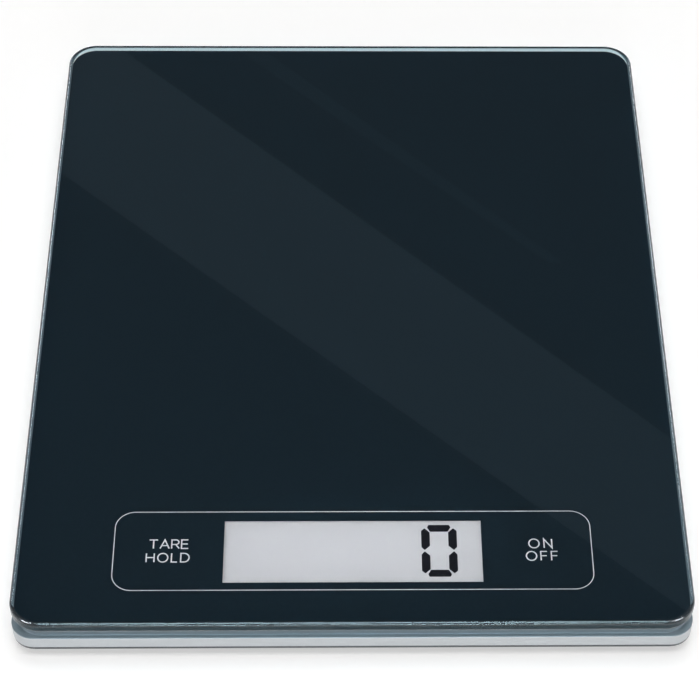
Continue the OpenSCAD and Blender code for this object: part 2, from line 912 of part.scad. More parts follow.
// Sliding cover: panel, side tongues, closed rear end and thumb grooves
module battery_cover() {
    panel_l = bulge_rear + running - cover_front;
    color("#b3b8bc")
        difference() {
            union() {
                translate([-cover_x, cover_front, bay_clear])
                    cube([2 * cover_x, panel_l, cover_t]);
                translate([-cover_x - cover_tongue_w, cover_front, tongue_z])
                    cube([2 * (cover_x + cover_tongue_w), panel_l - running, cover_tongue_t]);
                translate([-rail_out, cover_front + panel_l - eps, bay_clear])
                    cube([2 * rail_out, cover_end_t, belly_h - running - bay_clear]);
            }
            for (i = [0:4])
                translate([-9, bay_rear - 12 + 2.2 * i, bay_clear - 1])
                    cube([18, 1.1, 1.4]);
        }
}

// ---- unit button ----

// Push button that changes the unit, held in the floor by its flange
module unit_button() {
    color("#d5d8da")
        translate([button_x, button_y, 0]) {
            translate([0, 0, button_z])
                cylinder(r = button_r, h = flange_z - button_z + eps);
            translate([0, 0, flange_z])
                cylinder(r = button_flange[0], h = button_flange[1]);
        }
}

// Tact switch on the board's lower face, bored for its plunger
module unit_switch() {
    color("#2b2b2b")
        translate([button_x, button_y, switch_z])
            difference() {
                linear_extrude(board_z - switch_z)
                    square([6, 6], center = true);
                translate([0, 0, -1])
                    cylinder(r = plunger_r + 0.1,
                        h = plunger_l - (switch_z - plunger_z) + button_travel + 1.1);
            }
}

// The switch's plunger, carried by the button
module switch_plunger() {
    color("#e0e0e0")
        translate([button_x, button_y, plunger_z])
            cylinder(r = plunger_r, h = plunger_l);
}

// ---- wires ----

run_z = rib_z + wire_d / 2 + 0.05;
pad_z = board_top + wire_d / 2;
front_pad_inset = 9;
rear_pad_inset = 24;
front_pad_x = board_w / 2 - front_pad_inset;
rear_pad_x = board_w / 2 - rear_pad_inset;
battery_pad_x = 8;
wire_drop = 5;
wire_bend = 16;

// Front cells: out of the coating, over the fence's gap and back to the board's rear edge
front_route = [
    [foot_x, -foot_y + coat_end, cell_top + 0.65],
    [foot_x, -foot_y + coat_end + 1.5, cell_top + 0.65],
    [foot_x - 1, -foot_y + coat_end + 5, run_z - 1],
    [foot_x - 8, board_rear + 8, run_z],
    [foot_x - 18, board_rear + 9, run_z],
    [front_pad_x + 2, board_rear + wire_drop + 1, run_z],
    [front_pad_x, board_rear + 2, pad_z + 1],
    [front_pad_x, wire_pad_y, pad_z]];

// Rear cells: round the battery bay and forward over the ribs
bay_side = bay_w / 2 + bay_wall;
rear_route = [
    [foot_x, foot_y - coat_end, cell_top + 0.65],
    [foot_x, foot_y - coat_end - 1.5, cell_top + 0.65],
    [foot_x - 1, foot_y - coat_end - 5, run_z - 1],
    [foot_x - 8, foot_y - coat_end - 10, run_z],
    [bay_side + 20, bay_rear + 12, run_z],
    [bay_side + 11, bay_rear - 2, run_z],
    [bay_side + 10, bay_front - 8, run_z],
    [bay_side + 7, (bay_front + board_rear) / 2, run_z],
    [bay_side + 3, board_rear + 20, run_z],
    [rear_pad_x, board_rear + wire_drop + 2, run_z],
    [rear_pad_x, board_rear + 2, pad_z + 1],
    [rear_pad_x, wire_pad_y, pad_z]];

// Three wires from each load cell
module load_cell_wires() {
    color("#b03a30")
        for (m = [0, 1], k = [-1:1])
            mirror([m, 0, 0]) {
                tube(beside(wire_path(front_route), k * (wire_d + 0.2)), wire_d / 2, 6);
                tube(beside(wire_path(rear_route), k * (wire_d + 0.2)), wire_d / 2, 6);
            }
}

// Two wires from the battery contacts' tabs
module battery_wires() {
    color("#333333")
        for (s = [-1, 1]) {
            route = [
                [s * (bay_side + 1.6), tab_y(s), battery_z + 1],
                [s * (bay_side + 3), tab_y(s) - 4, run_z - 1],
                [s * (bay_side + 4), bay_front - 4, run_z],
                [s * (bay_side - 4), (bay_front + board_rear) / 2, run_z],
                [s * (battery_pad_x + 2), board_rear + wire_bend, run_z],
                [s * battery_pad_x, board_rear + wire_drop, run_z - 0.5],
                [s * battery_pad_x, wire_pad_y, pad_z]];
            tube(smooth(route, 3), wire_d / 2, 6);
        }
}

glass_platform();
back_print();
adhesive_frame();
support_pads();
base_tray();
load_cell(-1, -1);  // load_cell_front_left
load_cell(1, -1);  // load_cell_front_right
load_cell(-1, 1);  // load_cell_rear_left
load_cell(1, 1);  // load_cell_rear_right
strain_gauges();
gauge_coatings();
load_cell_screws();
foot_cup(-1, -1);  // foot_cup_front_left
foot_cup(1, -1);  // foot_cup_front_right
foot_cup(-1, 1);  // foot_cup_rear_left
foot_cup(1, 1);  // foot_cup_rear_right
foot_pad(-1, -1);  // foot_pad_front_left
foot_pad(1, -1);  // foot_pad_front_right
foot_pad(-1, 1);  // foot_pad_rear_left
foot_pad(1, 1);  // foot_pad_rear_right
foot_rivet(-1, -1);  // foot_rivet_front_left
foot_rivet(1, -1);  // foot_rivet_front_right
foot_rivet(-1, 1);  // foot_rivet_rear_left
foot_rivet(1, 1);  // foot_rivet_rear_right
main_board();
board_screws();
controller_chip();
board_components();
lcd_glass();
lcd_holder();
lcd_reflector();
lcd_gasket();
zebra_strips();
touch_electrodes();
touch_springs();
batteries();
battery_springs();
battery_contacts();
battery_cover();
unit_button();
unit_switch();
switch_plunger();
load_cell_wires();
battery_wires();
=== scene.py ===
import math

import bpy
import numpy as np
from mathutils import Matrix, Vector


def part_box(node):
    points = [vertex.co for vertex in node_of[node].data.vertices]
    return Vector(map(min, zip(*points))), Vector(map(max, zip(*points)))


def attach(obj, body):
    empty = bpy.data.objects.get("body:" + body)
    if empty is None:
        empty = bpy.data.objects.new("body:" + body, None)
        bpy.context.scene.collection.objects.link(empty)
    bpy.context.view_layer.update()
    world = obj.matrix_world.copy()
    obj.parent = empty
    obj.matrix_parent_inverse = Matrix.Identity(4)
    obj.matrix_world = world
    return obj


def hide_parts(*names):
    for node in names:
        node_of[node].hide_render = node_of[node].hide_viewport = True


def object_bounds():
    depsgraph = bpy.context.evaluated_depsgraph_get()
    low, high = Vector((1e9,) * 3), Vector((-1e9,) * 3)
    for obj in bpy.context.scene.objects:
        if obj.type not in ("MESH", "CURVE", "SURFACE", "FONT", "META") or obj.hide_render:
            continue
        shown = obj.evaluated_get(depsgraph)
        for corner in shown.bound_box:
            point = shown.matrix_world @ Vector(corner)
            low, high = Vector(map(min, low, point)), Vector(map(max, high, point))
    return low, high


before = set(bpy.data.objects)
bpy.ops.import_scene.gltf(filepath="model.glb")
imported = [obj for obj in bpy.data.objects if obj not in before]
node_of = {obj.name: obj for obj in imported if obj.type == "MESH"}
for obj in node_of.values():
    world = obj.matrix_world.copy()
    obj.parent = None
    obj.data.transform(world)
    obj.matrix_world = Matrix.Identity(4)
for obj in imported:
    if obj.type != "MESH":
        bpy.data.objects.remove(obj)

cad_low, cad_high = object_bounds()
top_of_glass = cad_high.z

# ---- Camera ----
# A long lens in front of the scale and above it, looking down on the glass at 47 degrees. The
# scale stands two degrees off square, left of the lens's axis, and the camera leans a little.
view_slope, view_turn, view_roll = np.radians([47.491, 2.012, 1.410])
view_aim = np.array([0.01686, -0.02154, top_of_glass])
view_distance = 0.82992
lens_length, lens_shift = 127.75, -0.0751

along = np.array([math.sin(view_turn), math.cos(view_turn), 0])
across = np.array([math.cos(view_turn), -math.sin(view_turn), 0])
upright = np.array([0, 0, 1])
forward = math.cos(view_slope) * along - math.sin(view_slope) * upright
lifted = math.sin(view_slope) * along + math.cos(view_slope) * upright
camera_x = math.cos(view_roll) * across + math.sin(view_roll) * lifted
camera_y = math.cos(view_roll) * lifted - math.sin(view_roll) * across

camera_data = bpy.data.cameras.new("camera")
camera_data.sensor_width = 36
camera_data.lens = lens_length
camera_data.shift_x = lens_shift
camera_data.clip_start, camera_data.clip_end = 0.05, 20
camera = bpy.data.objects.new("camera", camera_data)
bpy.context.scene.collection.objects.link(camera)
camera_place = np.identity(4)
camera_stand = view_aim - view_distance * forward
camera_place[:3, :4] = np.stack([camera_x, camera_y, -forward, camera_stand], 1)
camera.matrix_world = Matrix(camera_place.tolist())
bpy.context.scene.camera = camera
bpy.context.scene.view_settings.view_transform = "Standard"


# ---- Studio ----
# A white table under three soft lamps, pale walls that end in a dim ceiling, and lamps that stand
# where the rounded edges of the glass mirror them. The black glass mirrors the dim part.
def linear(hex_colour):
    """sRGB hex to linear RGBA: c / 12.92 below 0.04045, else ((c + 0.055) / 1.055) ** 2.4."""
    c = np.array([int(hex_colour[i:i + 2], 16) for i in (1, 3, 5)]) / 255
    c = np.where(c <= 0.04045, c / 12.92, ((c + 0.055) / 1.055) ** 2.4)
    return (*c.tolist(), 1.0)


def add_node(tree, kind, settings=None, **links):
    """Adds one shader node: settings are its properties or unlinked inputs, links its sources.
    A key that is a number, as in _0, names an input by its place."""
    made = tree.nodes.new(kind)
    for key, value in (settings or {}).items():
        if isinstance(key, str) and hasattr(made, key):
            setattr(made, key, value)
        else:
            made.inputs[key].default_value = value
    for key, source in links.items():
        place = int(key[1:]) if key[1:].isdigit() else key.replace("_", " ")
        tree.links.new(source, made.inputs[place])
    return made


world = bpy.data.worlds.new("studio")
bpy.context.scene.world = world
world.use_nodes = True
air = world.node_tree
air.nodes.clear()
heading = add_node(air, "ShaderNodeTexCoord")
height = add_node(air, "ShaderNodeSeparateXYZ", Vector=heading.outputs["Generated"])
walls = add_node(air, "ShaderNodeValToRGB", Fac=height.outputs["Z"])
# Height above the horizon and the grey of the walls there, a little cool. The two ends of the
# ramp come first.
ends = walls.color_ramp.elements
for place, grey in ((0.0, 0.80), (1.0, 0.12), (0.30, 0.70), (0.50, 0.09), (0.90, 0.09)):
    stop = ends[0] if place == 0 else ends[1] if place == 1 else ends.new(place)
    stop.color = (grey, grey, grey * 1.02, 1)
ray = add_node(air, "ShaderNodeLightPath")
room = add_node(air, "ShaderNodeBackground", {"Strength": 1.0}, Color=walls.outputs["Color"])
plain = add_node(air, "ShaderNodeBackground", {"Color": (1, 1, 1, 1), "Strength": 1.0})
seen = add_node(air, "ShaderNodeMixShader", _0=ray.outputs["Is Camera Ray"],
                _1=room.outputs[0], _2=plain.outputs[0])
add_node(air, "ShaderNodeOutputWorld", Surface=seen.outputs[0])


def soft_lamp(name, place, aim, size, watts, colour, mirrored=False):
    """An area lamp of the given width and height at place, facing aim. It either lights matt
    surfaces and isn't mirrored, or is there for gloss. No lamp is seen through the glass."""
    data = bpy.data.lights.new(name, "AREA")
    data.shape, data.energy, data.color = "RECTANGLE", watts, linear(colour)[:3]
    data.size, data.size_y = size
    lamp = bpy.data.objects.new(name, data)
    bpy.context.scene.collection.objects.link(lamp)
    lamp.location = place
    lamp.rotation_euler = (Vector(aim) - Vector(place)).to_track_quat("-Z", "Y").to_euler()
    lamp.visible_transmission = False
    lamp.visible_glossy, lamp.visible_diffuse = mirrored, not mirrored


daylight, window_light, card_light = "#fffdfb", "#bfe0ee", "#f0f6ff"
soft_lamp("overhead", (0, -0.50, 1.2), (0, -0.13, 0), (0.76, 0.36), 7.2, daylight)
soft_lamp("ceiling", (0, 0.22, 1.25), (0, 0, 0), (0.8, 0.44), 5.0, daylight)
soft_lamp("front", (0, -1.3, 0.28), (0, 0, 0.02), (0.50, 0.60), 4.2, daylight)
soft_lamp("high_gloss", (0, -0.68, 1.1), (0, -0.13, 0.02), (0.7, 0.80), 20.0, window_light,
          mirrored=True)
soft_lamp("low_gloss", (0, -1.3, 0.19), (0, 0, 0.02), (0.42, 0.34), 8.0, window_light,
          mirrored=True)
for hand, way in (("l", -1), ("r", 1)):
    soft_lamp("corner_gloss_" + hand, (0.94 * way, -0.71, 0.86), (0.1 * way, -0.13, 0.02),
              (0.50, 0.62), 26.0, card_light, mirrored=True)
    soft_lamp("side_gloss_" + hand, (0.62 * way, 0.86, 0.84), (0.1 * way, 0, 0.02),
              (0.28, 0.60), 5.0, card_light, mirrored=True)


def finish_mesh(name, points, faces, normals=None, smooth=True):
    """Mesh object at the origin from arrays of points and faces, with given vertex normals."""
    mesh = bpy.data.meshes.new(name)
    mesh.from_pydata(points.tolist(), [], faces)
    mesh.update()
    if smooth:
        mesh.shade_smooth()
    if normals is not None:
        mesh.normals_split_custom_set_from_vertices(normals.tolist())
    piece = bpy.data.objects.new(name, mesh)
    bpy.context.scene.collection.objects.link(piece)
    return piece


def new_material(name):
    """An empty material and its node tree."""
    made = bpy.data.materials.new(name)
    made.use_nodes = True
    made.node_tree.nodes.clear()
    return made, made.node_tree


# A table in matt white lacquer. It adds a glow of its own for the eye and for mirrors alone, so
# that it stays white all round and still shows the shadow.
table_reach, table_glow = 3.0, 0.47
square = np.array([[-1, -1, 0], [1, -1, 0], [1, 1, 0], [-1, 1, 0]])
table = finish_mesh("table", square * table_reach, [[0, 1, 2, 3]], smooth=False)
table_white, tree = new_material("white_table")
paint = add_node(tree, "ShaderNodeBsdfDiffuse", {"Color": linear("#d2d2d2")})
ray = add_node(tree, "ShaderNodeLightPath")
mirrored = add_node(tree, "ShaderNodeMath", {"operation": "MAXIMUM"},
                    _0=ray.outputs["Is Glossy Ray"], _1=ray.outputs["Is Transmission Ray"])
share = add_node(tree, "ShaderNodeMath", {"operation": "MAXIMUM"},
                 _0=ray.outputs["Is Camera Ray"], _1=mirrored.outputs[0])
strength = add_node(tree, "ShaderNodeMath", {"operation": "MULTIPLY", 1: table_glow},
                    _0=share.outputs[0])
lift = add_node(tree, "ShaderNodeEmission", {"Color": (1, 1, 1, 1)}, Strength=strength.outputs[0])
lifted_white = add_node(tree, "ShaderNodeAddShader", _0=paint.outputs[0], _1=lift.outputs[0])
add_node(tree, "ShaderNodeOutputMaterial", Surface=lifted_white.outputs[0])
table.data.materials.append(table_white)


card_y, card_tint = 1.4, "#e4f4ff"


def reflector(name, corners, radiance):
    """A glowing card that is there only for what mirrors it. It stands upright at card_y, and its
    corners are (x, z)."""
    points = np.array([(x, card_y, z) for x, z in corners])
    card = finish_mesh(name, points, [[0, 1, 2, 3]], smooth=False)
    made, tree = new_material(name)
    ray = add_node(tree, "ShaderNodeLightPath")
    glow = add_node(tree, "ShaderNodeEmission", {"Color": linear(card_tint), "Strength": radiance})
    none = add_node(tree, "ShaderNodeBsdfTransparent")
    shown = add_node(tree, "ShaderNodeMixShader", _0=ray.outputs["Is Glossy Ray"],
                     _1=none.outputs[0], _2=glow.outputs[0])
    add_node(tree, "ShaderNodeOutputMaterial", Surface=shown.outputs[0])
    card.data.materials.append(made)


# Two slanting cards behind the scale give the black glass its broad and its narrow pale stripe
reflector("wide_card", [(-0.29, 1.05), (0.5, 1.829), (0.541, 2.178), (-0.389, 1.201)], 0.22)
reflector("thin_card", [(-0.143, 1.079), (0.23, 1.422), (0.247, 1.422), (-0.115, 1.079)], 0.15)

# ---- Glass platform ----
# One plate of 4 mm toughened float glass with pencil-polished edges. Its own faint green-blue
# shows in the edges. It lies 0.01 mm into the enamel, which is fused to it with no air between.
fused, arris, corner_radius = 0.00001, 0.0012, 0.010
glass_low, glass_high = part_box("glass_platform")
glass_size = np.array(glass_high - glass_low)[:2]


def ring(size, radius, steps=24):
    """Rectangle with round corners, anticlockwise: at each corner the arc
    centre + radius * (cos a, sin a), and (cos a, sin a) is the outward normal."""
    a = np.linspace(0, math.pi / 2, steps + 1)
    turn = np.concatenate([a + q * math.pi / 2 for q in range(4)])
    outward = np.stack([np.cos(turn), np.sin(turn)], 1)
    signs = np.repeat([[1, 1], [-1, 1], [-1, -1], [1, -1]], steps + 1, axis=0)
    return signs * (np.asarray(size) / 2 - radius) + radius * outward, outward


def lofted(name, size, radius, profile):
    """A closed form: for each (inset, z, out, up) of the profile the ring at that inset and
    height, with normal out * outward + up * z. Flat faces close the first and last rings."""
    points, normals = [], []
    for inset, z, out, up in profile:
        edge, outward = ring(size - 2 * inset, radius - inset)
        points.append(np.column_stack([edge, np.full(len(edge), z)]))
        normals.append(np.column_stack([out * outward, np.full(len(edge), up)]))
    n, rows = len(points[0]), len(profile)
    i, j = np.meshgrid(np.arange(n), np.arange(rows - 1))
    k = (i + 1) % n
    quads = np.stack([j * n + i, j * n + k, (j + 1) * n + k, (j + 1) * n + i], -1).reshape(-1, 4)
    faces = quads.tolist() + [list(range(n))[::-1], list(range((rows - 1) * n, rows * n))]
    return finish_mesh(name, np.concatenate(points), faces, np.concatenate(normals))


turn = np.linspace(0, math.pi / 2, 13)
lower = [(arris * (1 - math.sin(a)), glass_low.z - fused + arris * (1 - math.cos(a)),
          math.sin(a), -math.cos(a)) for a in turn]
upper = [(arris * (1 - math.cos(a)), glass_high.z - arris * (1 - math.sin(a)),
          math.cos(a), math.sin(a)) for a in turn]
plate = lofted("glass_plate", glass_size, corner_radius, lower + upper)
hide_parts("glass_platform")
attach(plate, "housing")

satin_haze, satin_roughness = 0.03, 0.18


def float_glass(name, body, reflection, satin, let_through):
    """Clear soda-lime glass, IOR 1.52, smooth and faintly green-blue inside. It is open to shadow
    rays, so that lamps light what lies behind it, and let_through is their share. satin is the
    weight of the fine satin skin that the wheel leaves on an arris."""
    made, tree = new_material(name)
    clear = add_node(tree, "ShaderNodeBsdfPrincipled", {
        "Base Color": linear(body), "Roughness": 0.0, "IOR": 1.52,
        "Transmission Weight": 1 - satin_haze * satin, "Specular Tint": linear(reflection),
        "Coat Weight": satin, "Coat Roughness": satin_roughness, "Coat IOR": 1.5})
    ray = add_node(tree, "ShaderNodeLightPath")
    passed = add_node(tree, "ShaderNodeBsdfTransparent", {"Color": (*[let_through] * 3, 1)})
    surface = add_node(tree, "ShaderNodeMixShader", _0=ray.outputs["Is Shadow Ray"],
                       _1=clear.outputs[0], _2=passed.outputs[0])
    tint = add_node(tree, "ShaderNodeVolumeAbsorption", {
        "Color": linear("#60e0e8"), "Density": 3.0})
    add_node(tree, "ShaderNodeOutputMaterial", Surface=surface.outputs[0], Volume=tint.outputs[0])
    return made


# The faces are clear. The edge is ground and polished, and its two rounded arrises keep a fine
# satin skin that catches the lamps as bright lines.
plate.data.materials.append(float_glass("toughened_float_glass", "#ffffff", "#ffffff", 0.0, 0.9))
plate.data.materials.append(float_glass("polished_glass_edge", "#e0f0f4", "#8fd0e0", 0.0, 0.5))
plate.data.materials.append(float_glass("polished_glass_arris", "#d4e4ea", "#101416", 1.0, 0.6))
# The plate's faces run from the lower arris over the edge to the upper arris, then the two flats
arris_rings = len(turn) - 1
ring_faces = (len(plate.data.polygons) - 2) // (2 * arris_rings + 1)
finish_of_face = np.full(len(plate.data.polygons), 2, dtype=np.int32)
finish_of_face[ring_faces * arris_rings:ring_faces * (arris_rings + 1)] = 1
finish_of_face[-2:] = 0
plate.data.polygons.foreach_set("material_index", finish_of_face)

# ---- Back print ----
# Black ceramic enamel, screen-printed on the back of the glass and fired. Against the glass it is
# a deep blue-black, mottled very faintly at about a millimetre.
enamel, tree = new_material("fired_black_enamel")
place = add_node(tree, "ShaderNodeTexCoord")
grain = add_node(tree, "ShaderNodeTexNoise", {"Scale": 900.0, "Detail": 2.0},
                 Vector=place.outputs["Object"])
shade = add_node(tree, "ShaderNodeMix", {
    "data_type": "RGBA", 6: linear("#132129"), 7: linear("#16252d")}, Factor=grain.outputs["Fac"])
coat = add_node(tree, "ShaderNodeBsdfPrincipled", {"Roughness": 0.6, "Specular IOR Level": 0.0},
                Base_Color=shade.outputs[2])
add_node(tree, "ShaderNodeOutputMaterial", Surface=coat.outputs[0])
node_of["back_print"].material_slots[0].material = enamel


# ---- Panel outline and key legends ----
# Pale ink, printed on the back of the glass before the black: a thin frame with round corners
# round the display and the keys, and plain words for what the two touch keys do.
def ribbon(points, width, closed=False):
    """A flat line of even width: at each point the two sides lie width / 2 away along the mitre of
    the neighbouring legs, m = (n1 + n2) / (1 + n1.n2)."""
    p = np.asarray(points, float)
    legs = np.diff(np.vstack([p, p[:1]]) if closed else p, axis=0)
    legs = legs / np.linalg.norm(legs, axis=1)[:, None]
    side = np.column_stack([-legs[:, 1], legs[:, 0]])
    if closed:
        before, after = np.roll(side, 1, axis=0), side
    else:
        before, after = np.vstack([side[:1], side]), np.vstack([side, side[-1:]])
    mitre = (before + after) / (1 + (before * after).sum(1))[:, None]
    n = len(p)
    i = np.arange(n if closed else n - 1)
    k = (i + 1) % n
    quads = np.stack([i, i + n, k + n, k], 1)
    return np.concatenate([p + mitre * width / 2, p - mitre * width / 2]), quads


def thin_print(name, outlines, z0, z1):
    """A closed film from z0 to z1 over flat quad strips: both faces, and the rim of every quad."""
    points, faces = [], []
    for flat, quads in outlines:
        base, n = sum(len(p) for p in points), len(flat)
        points += [np.column_stack([flat, np.full(n, z)]) for z in (z1, z0)]
        up = quads + base
        low = up + n
        faces += up.tolist() + low[:, ::-1].tolist()
        edges = np.concatenate([up[:, [0, 1]], up[:, [2, 3]], up[:, [1, 2]], up[:, [3, 0]]])
        key = np.sort(edges, axis=1)
        _, first, count = np.unique(key, axis=0, return_index=True, return_counts=True)
        rim = edges[first[count == 1]]
        faces += np.column_stack([rim[:, 1], rim[:, 0], rim[:, 0] + n, rim[:, 1] + n]).tolist()
    return finish_mesh(name, np.concatenate(points), faces, smooth=False)


def arc(cx, cy, rx, ry, start, end, steps):
    """Points centre + (rx cos a, ry sin a) for a from start to end degrees."""
    a = np.radians(np.linspace(start, end, steps + 1))
    return np.column_stack([cx + rx * np.cos(a), cy + ry * np.sin(a)])


# Letters as pen strokes in a cell one cap height tall: (strokes, width of the letter)
pen = {
    "T": ([[(0, 1), (0.78, 1)], [(0.39, 1), (0.39, 0)]], 0.78),
    "A": ([[(0, 0), (0.42, 1), (0.84, 0)], [(0.15, 0.34), (0.69, 0.34)]], 0.84),
    "R": ([[(0, 0), (0, 1), (0.38, 1), *arc(0.38, 0.735, 0.265, 0.265, 90, -90, 12)[1:].tolist(),
            (0, 0.47)], [(0.36, 0.47), (0.70, 0)]], 0.68),
    "E": ([[(0.60, 1), (0, 1), (0, 0), (0.62, 0)], [(0, 0.52), (0.57, 0.52)]], 0.60),
    "H": ([[(0, 0), (0, 1)], [(0.72, 0), (0.72, 1)], [(0, 0.52), (0.72, 0.52)]], 0.72),
    "O": ([arc(0.46, 0.5, 0.46, 0.5, 0, 360, 40)[:-1].tolist()], 0.92),
    "L": ([[(0, 1), (0, 0), (0.52, 0)]], 0.52),
    "D": ([[(0.30, 0), (0, 0), (0, 1), (0.30, 1),
            *arc(0.30, 0.5, 0.46, 0.5, 90, -90, 20)[1:].tolist()]], 0.76),
    "N": ([[(0, 0), (0, 1), (0.70, 0), (0.70, 1)]], 0.70),
    "F": ([[(0, 0), (0, 1), (0.56, 1)], [(0, 0.52), (0.52, 0.52)]], 0.56),
}


# Middle of the panel, measured from the front edge of the glass, and its size and corner radius
panel_centre = np.array([0.00008, glass_low.y + 0.03008])
panel_size, panel_radius = (0.14926, 0.03076), 0.0062
outline_width, pen_width, film = 0.00026, 0.00042, 0.00002
ink_z = (glass_low.z, glass_low.z + film)


def word(text, middle, foot, cap, width):
    """The word's strokes as ribbons, its letters evenly spaced over the given width. middle is in
    X and foot in Y, both from the middle of the panel."""
    inks = [pen[c][1] * (cap - pen_width) for c in text]
    gap = (width - pen_width - sum(inks)) / (len(text) - 1)
    x, strips = middle - width / 2 + pen_width / 2, []
    for c, ink in zip(text, inks):
        for line in pen[c][0]:
            points = np.array(line) * (cap - pen_width) + [x, foot + pen_width / 2]
            strips.append(ribbon(points + panel_centre, pen_width, closed=c == "O"))
        x += ink + gap
    return strips


frame_line, _ = ring(panel_size, panel_radius, 16)
outline = thin_print("panel_outline",
                     [ribbon(frame_line + panel_centre, outline_width, closed=True)], *ink_z)
# Each word with its middle, foot, cap height and width
words = (("TARE", -0.05758, 0.00067, 0.0038, 0.0125), ("HOLD", -0.05768, -0.00463, 0.0038, 0.0137),
         ("ON", 0.05862, 0.00047, 0.0039, 0.0076), ("OFF", 0.05892, -0.00443, 0.0039, 0.0102))
legends = thin_print("key_legends", [strip for row in words for strip in word(*row)], *ink_z)
# The ink is matt, and the mesh of the screen leaves a faint grain of a sixth of a millimetre
ink, tree = new_material("pale_screen_ink")
place = add_node(tree, "ShaderNodeTexCoord")
mesh_marks = add_node(tree, "ShaderNodeTexNoise", {"Scale": 6000.0},
                      Vector=place.outputs["Object"])
density = add_node(tree, "ShaderNodeMix", {
    "data_type": "RGBA", 6: linear("#eae6e7"), 7: linear("#eeebec")},
    Factor=mesh_marks.outputs["Fac"])
pale = add_node(tree, "ShaderNodeBsdfPrincipled", {"Roughness": 0.5, "Specular IOR Level": 0.0},
                Base_Color=density.outputs[2])
add_node(tree, "ShaderNodeOutputMaterial", Surface=pale.outputs[0])
for piece in (outline, legends):
    piece.data.materials.append(ink)
    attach(piece, "housing")

# ---- Display ----
# A reflective liquid-crystal display behind the window, pale grey, with one digit of seven
# segments switched to 0. The segments lie in the glass of the display.
lcd_low, lcd_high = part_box("lcd_glass")
digit_size = np.array([0.0112, 0.0204])
# The digit stands near the right end of the display, a little behind its middle line
digit_place = np.array([lcd_high.x - 0.01497, (lcd_low.y + lcd_high.y) / 2 + 0.00046])
digit_z = (lcd_high.z - 0.00001, lcd_high.z + 0.00003)
bar, slit, chamfer = 0.0027, 0.00035, 0.000405


def seven_segment_zero(size, centre):
    """The six lit segments of a 0 as flat polygons, a bar wide and a slit apart: a trapezium at
    top and bottom, and two bars with pointed inner ends at each side, mirrored in both middle
    lines. Their ends are cut at shares of the bar."""
    w, h = size / 2
    g = slit / 2 * math.sqrt(2)
    deep, shallow = bar * 0.62, bar * 0.38
    heel, outer, tip = bar * 0.40, bar * 0.78, bar * 0.45
    trapezium = np.array([
        [-w + deep + g, h - shallow], [-w + bar + g / 2, h - bar], [w - bar - g / 2, h - bar],
        [w - deep - g, h - shallow], [w - deep - g - chamfer, h], [-w + deep + g + chamfer, h]])
    upright_bar = np.array([
        [w, h - outer - g], [w - heel, h - heel - g], [w - bar, h - bar - g],
        [w - bar, deep + g], [w - shallow, g], [w, tip + g]])
    shapes = [trapezium, trapezium * [1, -1]]
    shapes += [upright_bar * [sx, sy] for sx in (1, -1) for sy in (1, -1)]
    return [s + centre for s in shapes]


# Each segment is a film from below the display's face to just above it. A mirrored outline runs
# the other way round, which the sign of its area tells, and is turned back.
points, faces = [], []
for shape in seven_segment_zero(digit_size, digit_place):
    n, base = len(shape), sum(len(p) for p in points)
    following = np.roll(shape, -1, axis=0)
    area = (shape[:, 0] * following[:, 1] - shape[:, 1] * following[:, 0]).sum()
    shape = shape if area > 0 else shape[::-1]
    points += [np.column_stack([shape, np.full(n, z)]) for z in digit_z[::-1]]
    i = np.arange(n)
    k = (i + 1) % n
    faces += [(base + i).tolist(), (base + n + i[::-1]).tolist()]
    faces += (base + np.stack([i, i + n, k + n, k], 1)).tolist()
digit = finish_mesh("display_digit", np.concatenate(points), faces, smooth=False)
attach(digit, "housing")


def speckled(name, first, second, grain, finish, relief=0.0, edge=0.0, stretch=(1, 1, 1)):
    """A material of two close tones, mixed by a noise whose grain has the given size in metres.
    relief is the depth of the same noise as bump, edge the radius that sharp edges are shaded
    with, and stretch draws the grain out along an axis."""
    made, tree = new_material(name)
    place = add_node(tree, "ShaderNodeTexCoord")
    laid = add_node(tree, "ShaderNodeMapping", {"Scale": stretch}, Vector=place.outputs["Object"])
    noise = add_node(tree, "ShaderNodeTexNoise", {"Scale": 1 / grain, "Detail": 3.0},
                     Vector=laid.outputs[0])
    tone = add_node(tree, "ShaderNodeMix", {
        "data_type": "RGBA", 6: linear(first), 7: linear(second)}, Factor=noise.outputs["Fac"])
    surface = add_node(tree, "ShaderNodeBsdfPrincipled", finish, Base_Color=tone.outputs[2])
    normal = None
    if edge:
        normal = add_node(tree, "ShaderNodeBevel", {"samples": 6, "Radius": edge}).outputs[0]
    if relief:
        bump = add_node(tree, "ShaderNodeBump", {"Distance": relief}, Height=noise.outputs["Fac"])
        if normal:
            tree.links.new(normal, bump.inputs["Normal"])
        normal = bump.outputs[0]
    if normal:
        tree.links.new(normal, surface.inputs["Normal"])
    add_node(tree, "ShaderNodeOutputMaterial", Surface=surface.outputs[0])
    return made


def finish_nodes(material, *names):
    """Puts the material on CAD nodes."""
    for name in names:
        node_of[name].material_slots[0].material = material


# Switched crystal is black with a blue cast; the resting display is the grey of its reflector
digit.data.materials.append(speckled("switched_liquid_crystal", "#090b12", "#0d0f17", 0.0012,
                                     {"Roughness": 0.35, "Specular IOR Level": 0.0}))
finish_nodes(speckled("reflective_lcd", "#b7b2b1", "#bbb6b5", 0.0006,
                      {"Roughness": 0.5, "Specular IOR Level": 0.0}), "lcd_glass")
